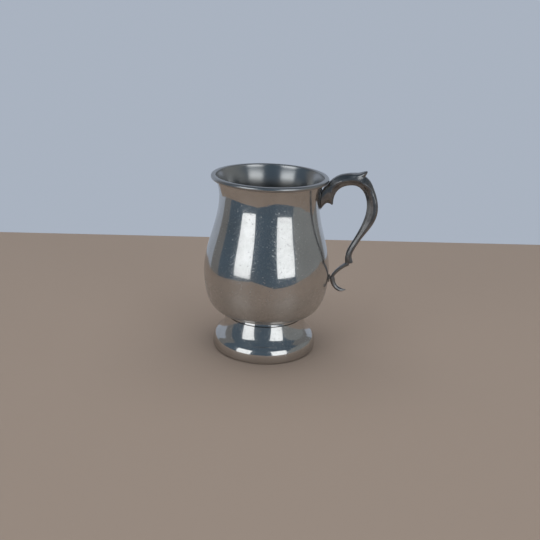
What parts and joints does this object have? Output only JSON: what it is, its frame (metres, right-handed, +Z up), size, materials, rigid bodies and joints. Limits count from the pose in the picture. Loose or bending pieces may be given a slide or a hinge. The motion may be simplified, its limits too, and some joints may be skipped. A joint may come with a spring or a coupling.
{
  "type": "tankard",
  "caption": "Open footed tankard with a bulbous cup, rolled lip, hollow pedestal foot and a cast scroll handle with a leaf thumb rest and hooked tail.",
  "frame": {"origin": "on the table, at the middle of the overall bounding box", "axes": "+Z up along the cup's axis, +X towards the handle, +Y across the handle"},
  "size_m": [0.1288, 0.0962, 0.1424],
  "materials": {
    "polished_pewter": "polished, with fine scratches outside and satin turning lines inside",
    "cast_pewter": "dull cast patina, with a few casting pits and rubbed edges",
    "solder": "dull, wiped smooth"
  },
  "bodies": {
    "root": {"body": "polished_pewter", "foot": "polished_pewter", "foot_solder": "polished_pewter", "handle": "cast_pewter", "handle_upper_solder": "solder", "handle_lower_solder": "solder"}
  },
  "joints": []
}
